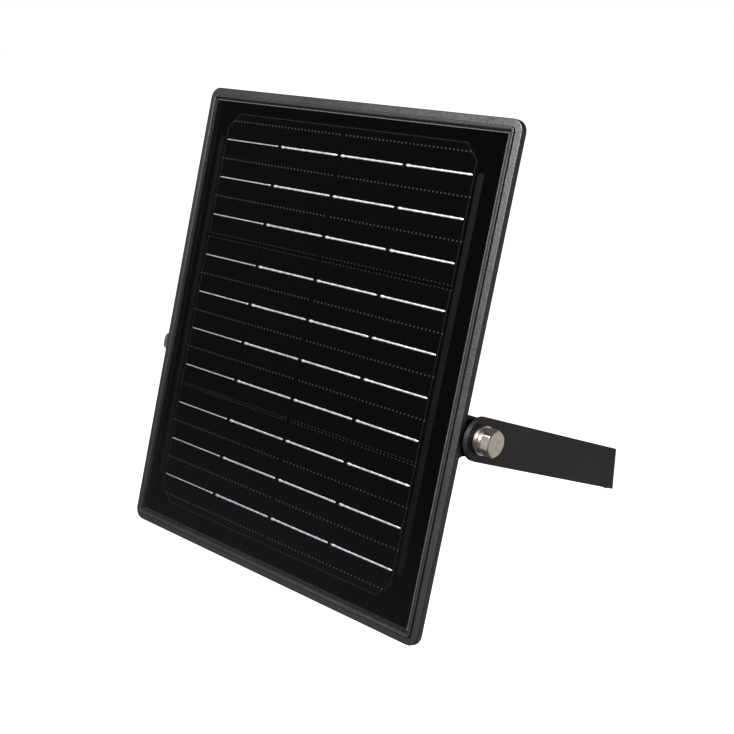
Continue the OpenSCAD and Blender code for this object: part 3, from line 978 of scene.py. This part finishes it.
    def finish(self, slot: Slot, finishes: list, node: str, place: Matrix, smooth: float = 38.0,
               body: Body = Body.PANEL) -> None:
        """Turns the mesh into a piece of the object.

        Args:
            slot: not used.
            finishes: one finish for each material index.
            node: the node that it stands for.
            place: turns its millimetres into row metres.
            smooth: largest angle that is shaded as one surface, in degrees.
            body: what it rides on.
        """
        bm = self.bm
        self.put(place)
        bmesh.ops.recalc_face_normals(bm, faces=bm.faces)
        mesh = bpy.data.meshes.new(self.name)
        for finish in finishes:
            mesh.materials.append(dressed(finish))
        bm.to_mesh(mesh)
        bm.free()
        mesh.shade_smooth()
        mesh.set_sharp_from_angle(angle=math.radians(smooth))
        piece = bpy.data.objects.new(self.name, mesh)
        bpy.context.scene.collection.objects.link(piece)
        even = piece.modifiers.new("even shading", "WEIGHTED_NORMAL")
        even.keep_sharp = True
        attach(piece, body.value)
        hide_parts(node)
        log.info("%s: %d faces, for %s", self.name, len(mesh.polygons), node)


def soften_node(name: str, node: str, width: float, slot: Slot, finish: object) -> None:
    """Makes a panel piece that is a node with its edges rounded.

    Args:
        name: the piece's name.
        node: the node that it stands for.
        width: width of the rounding.
        slot: the record's finish name.
        finish: its finish.
    """
    Workpiece.softened(name, node, width).finish(slot, [finish], node, ROW)


def dress_node(node: str, finish: object) -> None:
    """Gives a node that stays as it is its material.

    Args:
        node: the node's name.
        finish: its finish.
    """
    mesh = frame["nodes"][node].data
    mesh.materials.clear()
    mesh.materials.append(dressed(finish))
    log.info("%s: dressed in %s", node, finish.name)


# Sub-assemblies ----------------------------------------------------------------------------


@dataclass
class Bracket:
    """Folded sheet bracket: two arms and the bar on the wall."""

    edge: float = 0.32

    def build(self) -> None:
        """Rounds the sheet's edges and coats it."""
        piece = Workpiece.softened("folded_bracket", "u_bracket", self.edge, 3)
        piece.finish(Slot.PAINT, [BRACKET_COAT], "u_bracket", ROW, body=Body.BRACKET)


@dataclass
class PanelFrame:
    """Moulded frame with its pocket, rear tray, ears and screw bosses."""

    width: float = 180.2
    height: float = 206.6
    corner: float = 5.0
    least_radius: float = 0.15
    flange: float = 4.2
    band: float = 1.1
    band_w: float = 3.0
    crest: Point2 = (3.25, 4.3)
    seat: float = 4.7
    pocket: float = 4.9
    wall: float = 2.0
    shoulder: float = 3.4
    rim_end: float = 9.0
    tray_inset: float = 11.5
    tray_depth: float = 16.0
    tray_corner: float = 4.0
    boss_outer: float = 3.5
    boss_pilot: float = 1.25
    boss_x: float = 73.7
    boss_y: float = 86.9
    boss_back: float = 16.5
    ear_face: float = 89.5
    ear_inner: float = 78.9
    ear_radius: float = 7.4
    ear_fillet: float = 3.0

    def section(self) -> list[Point2]:
        """Section of the moulding.

        Returns:
            Inset and height of each point.
        """
        under = -self.seat - self.wall
        inner = self.tray_inset + self.wall
        return rounded([
            (0, -self.flange, 0.45), (0, -self.band, 0.5), (self.band_w, -self.band + 0.1, 0.12),
            (self.crest[0], 0, 0.22), (self.crest[1], -0.15, 0.2), (self.pocket, -1.9, 0.2),
            (self.pocket, -self.seat, 0), (inner, -self.seat, 0.2), (inner, -self.tray_depth, 0.3),
            (self.tray_inset, -self.tray_depth, 0.4), (self.tray_inset, under, 0.9),
            (self.shoulder, under, 0.4), (self.shoulder, -self.flange, 0.3),
        ])

    def corner_radius(self, inset: float) -> float:
        """Corner radius of the ring at an inset: rim, then tray."""
        edge = self.corner if inset < self.rim_end else self.tray_corner + self.tray_inset
        return max(edge - inset, self.least_radius)

    def ear_outline(self) -> list[Point2]:
        """D-shaped ear with concave fillets under the flange, round the tilt axis.

        Returns:
            The outline's points, from the axis.
        """
        r, f = self.ear_radius, self.ear_fillet
        reach = PLACE.pivot_depth - self.flange + 0.2
        arc = [(r * math.cos(a), r * math.sin(a)) for a in (-math.pi * k / 24 for k in range(25))]
        left = [(-r - f + f * math.cos(a), reach - f + f * math.sin(a))
                for a in (math.pi / 2 * k / 8 for k in range(9))]
        right = [(-x, y) for x, y in reversed(left)]
        return arc + left + right

    def build(self) -> None:
        """Lofts the rim and tray, then adds ears and bosses."""
        piece = Workpiece("moulded_frame")
        piece.frame_loft(self.width, self.height, self.section(), self.corner_radius)
        ears = Workpiece("ears")
        ears.slab(self.ear_outline(), self.ear_face - self.ear_inner, 0.5, PLACE.axle(self.ear_inner))
        bmesh.ops.bisect_plane(ears.bm, geom=ears.whole(), plane_co=(self.width / 2 - self.pocket, 0, 0),
                               plane_no=(1, 0, 0))
        ears.both_sides()
        mesh = bpy.data.meshes.new("ears")
        ears.bm.to_mesh(mesh)
        ears.bm.free()
        piece.bm.from_mesh(mesh)
        bpy.data.meshes.remove(mesh)
        front = -self.seat - self.wall / 2
        boss = rounded([(self.boss_pilot, -self.boss_back, 0.2), (self.boss_outer, -self.boss_back, 0.3),
                        (self.boss_outer, front, 0), (self.boss_pilot, front, 0)], 2)
        for x in (-self.boss_x, 0, self.boss_x):
            for y in (-self.boss_y, 0, self.boss_y):
                if x or y:
                    piece.turned(boss, 24, Matrix.Translation((x, y, 0)))
        piece.finish(Slot.ABS, [FRAME_SKIN], "panel_frame", PLACE.matrix())


@dataclass
class Laminate:
    """Cover glass and everything bonded under it."""

    glass_w: float = 169.4
    glass_h: float = 195.8
    glass_face: float = 0.9
    glass_t: float = 2.0
    glass_corner: float = 0.35
    chamfer: float = 0.45
    centre: Point2 = (-3.2, 1.1)
    cell_w: float = 36.4
    gap: float = 0.8
    columns: int = 4
    ribbon_face: float = 3.1
    ribbon_t: float = 0.2
    end_margin: float = 1.3
    gap_margin: float = 0.6
    node_pitch: float = 4.7
    node_steps: int = 6
    thin: float = 0.56
    wide: float = 0.84
    bars: tuple[float, ...] = (-79.45, -62.05, -44.65, -26.45, -9.05, 8.35, 25.75, 44.65, 62.05, 79.45)
    crown: tuple[Point2, ...] = ((-0.5, 0.0), (-0.42, 0.62), (-0.2, 0.95),
                                 (0.2, 0.95), (0.42, 0.62), (0.5, 0.0))
    bead: tuple[Point2, ...] = ((4.9, -1.85), (4.98, -2.1), (5.15, -2.2), (5.32, -2.1), (5.4, -1.9),
                                (5.4, -4.2), (4.9, -4.2))

    def glass(self) -> None:
        """Pane with a ground chamfer and ground sides."""
        piece = Workpiece("cover_pane")
        bm = piece.bm
        bmesh.ops.create_cube(bm, size=1.0)
        bmesh.ops.scale(bm, vec=(self.glass_w, self.glass_h, self.glass_t), verts=bm.verts)
        bmesh.ops.translate(bm, vec=(0, 0, -self.glass_face - self.glass_t / 2), verts=bm.verts)
        piece.bevel([e for e in bm.edges if abs(e.verts[0].co.z - e.verts[1].co.z) > 1], self.glass_corner, 3)
        front = -self.glass_face - 0.01
        piece.bevel([e for e in bm.edges if all(v.co.z > front for v in e.verts)], self.chamfer, 1)
        bm.normal_update()
        for face in bm.faces:
            face.material_index = 0 if face.normal.z > 0.99 else 2 if face.normal.z < -0.99 else 1
        piece.finish(Slot.GLASS, [PANE, PANE_EDGE, BONDED], "cover_glass", PLACE.matrix(), 20)

    def sealant(self, rim: PanelFrame) -> None:
        """Bead with a hollow top in the gap round the glass.

        Args:
            rim: the frame that it sits in.
        """
        piece = Workpiece("sealing_bead")
        piece.frame_loft(rim.width, rim.height, list(self.bead), rim.corner_radius, 4)
        piece.finish(Slot.RUBBER, [SEALANT], "glass_sealant", PLACE.matrix())

    def ribbon(self, piece: Workpiece, start: float, stop: float, y: float, wide: float,
               blob_first: bool, blob_last: bool, noded: bool) -> None:
        """Crowned strip with solder joints along it.

        Args:
            piece: the workpiece to add to.
            start: left end.
            stop: right end.
            y: height of its middle line.
            wide: its width.
            blob_first: a blob of solder at the left end.
            blob_last: a blob of solder at the right end.
            noded: solder joints at even steps.
        """
        base = -self.ribbon_face - self.ribbon_t
        step = self.node_pitch / self.node_steps
        count = max(self.node_steps, round((stop - start) / step))
        rings: list[Point2] = []
        bright: list[float] = []
        for i in range(count + 1):
            x = start + (stop - start) * i / count
            swell = 1.0
            if noded and i % self.node_steps == 0:
                swell = 1.22
            if blob_first and i in (1, 2):
                swell = 1.5
            if blob_last and i == count - 1:
                swell = 1.45
            if swell > 1:
                bright.append(x)
            rings.append((x, swell * (0.6 if i in (0, count) else 1.0)))

        def spot(k: int, ring: Point2) -> Vector:
            """Place of section point k at one step along the strip."""
            (across, up), (x, swell) = self.crown[k], ring
            return Vector((x, y + across * wide * swell, base + up * self.ribbon_t * min(swell, 1.25)))

        known = set(piece.bm.faces)
        piece.loft(rings, spot, len(self.crown), close=False)
        for face in (f for f in piece.bm.faces if f not in known):
            middle = face.calc_center_median().x
            if any(abs(middle - x) < step * 0.62 for x in bright):
                face.material_index = 1

    def ribbons(self) -> None:
        """One strip for each bar and column."""
        piece = Workpiece("tabbing_strips")
        width = self.columns * self.cell_w + (self.columns - 1) * self.gap
        for y in self.bars:
            for i in range(self.columns):
                x = self.centre[0] - width / 2 + i * (self.cell_w + self.gap)
                start = x + (self.end_margin if i == 0 else self.gap_margin)
                stop = x + self.cell_w - (self.end_margin if i == self.columns - 1 else self.gap_margin)
                self.ribbon(piece, start, stop, self.centre[1] + y, self.thin if i == 0 else self.wide,
                            i > 0, i == 0, i > 0)
        piece.finish(Slot.TIN, [TIN, SOLDER], "tabbing_ribbons", PLACE.matrix(), 60)

    def build(self, rim: PanelFrame) -> None:
        """Makes the glass, bead and strips, and dresses the flat layers.

        Args:
            rim: the frame that holds them.
        """
        self.glass()
        self.sealant(rim)
        self.ribbons()
        for node, finish in (("cell_row_top", CELL), ("cell_row_middle", CELL), ("cell_row_bottom", CELL),
                             ("front_encapsulant", FILM), ("rear_encapsulant", FILM),
                             ("backsheet", BACKSHEET), ("series_links", COATED),
                             ("end_bus_strips", COATED), ("seat_tape", RUBBER)):
            dress_node(node, finish)


@dataclass
class RearCover:
    """Screwed back cover, its gasket and its screws."""

    edge: float = 0.35
    screw_edge: float = 0.12

    def build(self) -> None:
        """Rounds the cover's and the screws' edges."""
        soften_node("ribbed_cover", "back_cover", self.edge, Slot.ABS, COVER_SKIN)
        soften_node("cover_pan_screws", "cover_screws", self.screw_edge, Slot.STEEL, SCREW_STEEL)
        dress_node("cover_gasket", RUBBER)


@dataclass
class JunctionBox:
    """Terminal box on the cover, with its lid and what is in it."""

    edge: float = 0.45
    lid_edge: float = 0.3
    screw_edge: float = 0.12

    def build(self) -> None:
        """Rounds the box, the lid and the screws, and dresses what is inside."""
        soften_node("terminal_box", "junction_box", self.edge, Slot.ABS, BOX_SKIN)
        soften_node("terminal_box_lid", "box_lid", self.lid_edge, Slot.ABS, BOX_SKIN)
        soften_node("lid_pan_screws", "lid_screws", self.screw_edge, Slot.STEEL, SCREW_STEEL)
        for node, finish in (("box_gasket", RUBBER), ("terminal_board", BOARD), ("terminal_block", TERMINAL),
                             ("blocking_diode", EPOXY), ("output_tails", COPPER)):
            dress_node(node, finish)


@dataclass
class CableGland:
    """Screwed cable entry on the lower side of the box."""

    edge: float = 0.3

    def build(self) -> None:
        """Rounds the gland's pieces."""
        soften_node("gland_screw_body", "gland_body", self.edge, Slot.NYLON, NYLON)
        soften_node("gland_cap_nut", "gland_nut", self.edge, Slot.NYLON, NYLON)
        soften_node("gland_ring_seal", "gland_seal", self.edge, Slot.RUBBER, GREY_RUBBER)
        dress_node("gland_locknut", NYLON)


@dataclass
class PivotHardware:
    """Hex bolts, washers and discs on the tilt axis, alike on both sides."""

    ear_face: float = 89.5
    disc_t: float = 0.9
    disc_r: float = 7.3
    washer_in: float = 92.6
    washer_r: float = 6.0
    washer_t: float = 1.6
    spring_r: float = 5.3
    bore_r: float = 3.2
    head_h: float = 4.0
    across_flats: float = 10.0
    chamfer: float = 28.0
    turn: float = 27.5
    shank_r: float = 3.0
    shank: float = 13.8
    split: float = 9.0
    split_lean: float = 6.0
    split_at: float = 35.0

    def bolts(self) -> None:
        """Hex heads with a turned chamfer, on plain shanks."""
        piece = Workpiece("hex_bolts")
        flat = self.across_flats / 2
        face_r = flat * 0.955
        head_at = self.washer_in + 2 * self.washer_t
        levels = [(0.0, flat * 0.9), (0.0, flat * 0.97), (0.12, flat * 1.02), (0.35, math.inf)]
        levels += [(self.head_h - drop, math.inf) for drop in (0.62, 0.42, 0.28, 0.14, 0.02)]
        levels += [(self.head_h - drop, face_r - inset)
                   for drop, inset in ((0, 0.12), (0, 0.5), (0.05, 0.9))]

        def spot(k: int, level: Point2) -> Vector:
            """Draws a corner-rounded hexagon, cut by the chamfer's cone.

            Args:
                k: number of the vertex.
                level: height and largest radius.

            Returns:
                Its place.
            """
            z, cap = level
            angle = math.tau * k / 96
            fold = (angle + math.pi / 6) % (math.pi / 3) - math.pi / 6
            hexagon = min(flat / math.cos(fold), flat * 1.135)
            cone = face_r + (self.head_h - z) / math.tan(math.radians(self.chamfer))
            r = min(hexagon, cap, cone)
            a = angle + math.radians(self.turn)
            return Vector((r * math.cos(a), r * math.sin(a), z))

        piece.loft(levels, spot, 96, close=False)
        piece.put(PLACE.axle(head_at))
        shank = rounded([(0.2, -self.shank, 0), (self.shank_r, -self.shank, 0.5), (self.shank_r, 0.1, 0),
                         (0.2, 0.1, 0)], 3)
        piece.turned(shank, 48, PLACE.axle(head_at))
        piece.both_sides()
        piece.finish(Slot.STEEL, [BOLT_STEEL], "pivot_bolts", PLACE.matrix(), 32)

    def ring(self, name: str, node: str, start: float, outer: float, thick: float,
             soft: float, finish: object, slot: Slot) -> None:
        """A flat ring with rounded rims on the bolt.

        Args:
            name: the piece's name.
            node: the node it stands for.
            start: its inner face along the axis.
            outer: outer radius.
            thick: thickness.
            soft: rounding of its rims.
            finish: its finish.
            slot: the record's finish name.
        """
        piece = Workpiece(name)
        section = rounded([(self.bore_r, 0, soft * 0.6), (outer, 0, soft), (outer, thick, soft),
                           (self.bore_r, thick, soft * 0.6)])
        piece.turned(section, 72, PLACE.axle(start))
        piece.both_sides()
        piece.finish(slot, [finish], node, PLACE.matrix())

    def spring_washers(self) -> None:
        """Split rings with a slanting gap."""
        piece = Workpiece("split_washers")
        section = rounded([(self.bore_r, 0, 0.2), (self.spring_r, 0, 0.25),
                           (self.spring_r, self.washer_t, 0.25), (self.bore_r, self.washer_t, 0.2)], 3)
        gap = math.radians(self.split)
        steps = 60

        def spot(k: int, i: int) -> Vector:
            """Carries the section round the axis, with the ends leaning.

            Args:
                k: number of the section point.
                i: step round the axis.

            Returns:
                Its place.
            """
            r, z = section[k]
            lean = math.radians(self.split_lean) * (z / self.washer_t - 0.5)
            angle = math.radians(self.split_at) + gap / 2 + (math.tau - gap) * i / steps + lean
            return Vector((r * math.cos(angle), r * math.sin(angle), z))

        piece.loft(list(range(steps + 1)), spot, len(section), close=False)
        piece.put(PLACE.axle(self.washer_in + self.washer_t))
        piece.both_sides()
        piece.finish(Slot.STEEL, [BOLT_STEEL], "spring_washers", PLACE.matrix())

    def build(self) -> None:
        """Makes the stack from the ear outwards."""
        self.ring("friction_rings", "friction_discs", self.ear_face, self.disc_r, self.disc_t, 0.2,
                  RUBBER, Slot.RUBBER)
        self.ring("plain_washers", "flat_washers", self.washer_in, self.washer_r, self.washer_t, 0.3,
                  BOLT_STEEL, Slot.STEEL)
        self.spring_washers()
        self.bolts()
        dress_node("ear_inserts", BRASS)


# Studio ------------------------------------------------------------------------------------


def toward(heading: float, height: float) -> Vector:
    """Unit vector toward a heading (clockwise from +Y) and a height, both in degrees."""
    a, e = math.radians(heading), math.radians(height)
    return Vector((math.sin(a) * math.cos(e), math.cos(a) * math.cos(e), math.sin(e)))


@dataclass(frozen=True)
class SkyPatch:
    """A round patch of the surroundings, whole inside the inner angle and gone at the outer one."""

    heading: float
    height: float
    inner: float
    outer: float
    colour: Colour


@dataclass(frozen=True)
class SoftBox:
    """A square area light that faces the object."""

    name: str
    heading: float
    height: float
    distance: float
    size: float
    power: float

    def build(self, target: Vector) -> None:
        """Hangs the light.

        Args:
            target: the point that it faces.
        """
        lamp = bpy.data.lights.new(self.name, "AREA")
        lamp.shape, lamp.size, lamp.energy = "SQUARE", self.size, self.power
        holder = bpy.data.objects.new(self.name, lamp)
        bpy.context.scene.collection.objects.link(holder)
        away = toward(self.heading, self.height)
        holder.location = target + away * self.distance
        holder.rotation_euler = away.to_track_quat("Z", "Y").to_euler()
        holder.visible_camera = False


@dataclass(frozen=True)
class Studio:
    """Floor, sky, light and camera."""

    floor_drop: float = 0.42
    floor_size: float = 12.0
    floor_glow: float = 1.1
    camera_off: tuple[float, float, float] = (0.37917, -0.36411, 0.13778)
    heading: float = 43.155
    pitch: float = 74.311
    roll: float = 2.139
    lens: float = 62.56
    sky: Colour = (0.088, 0.088, 0.088)
    patches: tuple[SkyPatch, ...] = (
        SkyPatch(37, -19, 22, 52, (0.72, 0.67, 0.61)),
        SkyPatch(-136, -36, 10, 38, (0.40, 0.43, 0.49)),
    )
    softbox: SoftBox = SoftBox("front softbox", 176, 37, 0.6, 0.25, 13)

    def floor(self) -> None:
        """Wide pale floor below the object."""
        bm = bmesh.new()
        bmesh.ops.create_grid(bm, x_segments=8, y_segments=8, size=self.floor_size)
        mesh = bpy.data.meshes.new("floor")
        bm.to_mesh(mesh)
        bm.free()
        g = Graph("pale floor")
        shader = g.surface((0.92, 0.92, 0.92), 0.9, Specular_IOR_Level=0.0,
                           Emission_Strength=self.floor_glow)
        shader.inputs["Emission Color"].default_value = (1, 1, 1, 1)
        mesh.materials.append(g.material)
        floor = bpy.data.objects.new("floor", mesh)
        floor.location.z = -self.floor_drop
        floor.visible_glossy = floor.visible_diffuse = False
        bpy.context.scene.collection.objects.link(floor)

    def world(self) -> None:
        """White surroundings that light the object as a dim sky with bright patches."""
        world = bpy.data.worlds.new("studio")
        world.use_nodes = True
        bpy.context.scene.world = world
        g = Nodes(world.node_tree)
        out = g.add("ShaderNodeOutputWorld")
        where = g.add("ShaderNodeTexCoord").outputs["Generated"]
        colour: object = self.sky
        for patch in self.patches:
            limits = (math.cos(math.radians(angle)) for angle in (patch.outer, patch.inner))
            fade = g.spread(g.dot(where, toward(patch.heading, patch.height)), *limits, 0.0, 1.0, smooth=True)
            colour = g.tint(fade, colour, patch.colour)
        soft, white = g.add("ShaderNodeBackground"), g.add("ShaderNodeBackground")
        g.join(colour, soft.inputs[0])
        g.join((1, 1, 1), white.inputs[0])
        pick = g.layer(g.add("ShaderNodeLightPath").outputs["Is Camera Ray"], soft, white)
        g.join(pick.outputs[0], out.inputs[0])

    def camera(self) -> None:
        """Camera in front, to the right and a little above."""
        lens = bpy.data.cameras.new("camera")
        lens.lens, lens.sensor_width = self.lens, 36.0
        lens.clip_start, lens.clip_end = 0.01, 50.0
        camera = bpy.data.objects.new("camera", lens)
        bpy.context.scene.collection.objects.link(camera)
        turn = (Matrix.Rotation(math.radians(self.heading), 4, "Z")
                @ Matrix.Rotation(math.radians(self.pitch), 4, "X")
                @ Matrix.Rotation(math.radians(self.roll), 4, "Z"))
        camera.matrix_world = Matrix.Translation(PLACE.origin + Vector(self.camera_off)) @ turn
        bpy.context.scene.camera = camera

    def build(self) -> None:
        """Sets up the whole studio."""
        self.floor()
        self.world()
        self.softbox.build((cad_low + cad_high) / 2)
        self.camera()
        bpy.context.scene.view_settings.view_transform = "Standard"


def main() -> None:
    """Builds the object and its studio."""
    logging.basicConfig(level=logging.INFO, format="%(message)s", stream=sys.stdout)
    Studio().build()
    Bracket().build()
    rim = PanelFrame()
    rim.build()
    Laminate().build(rim)
    RearCover().build()
    JunctionBox().build()
    CableGland().build()
    PivotHardware().build()


if __name__ == "__main__":
    main()
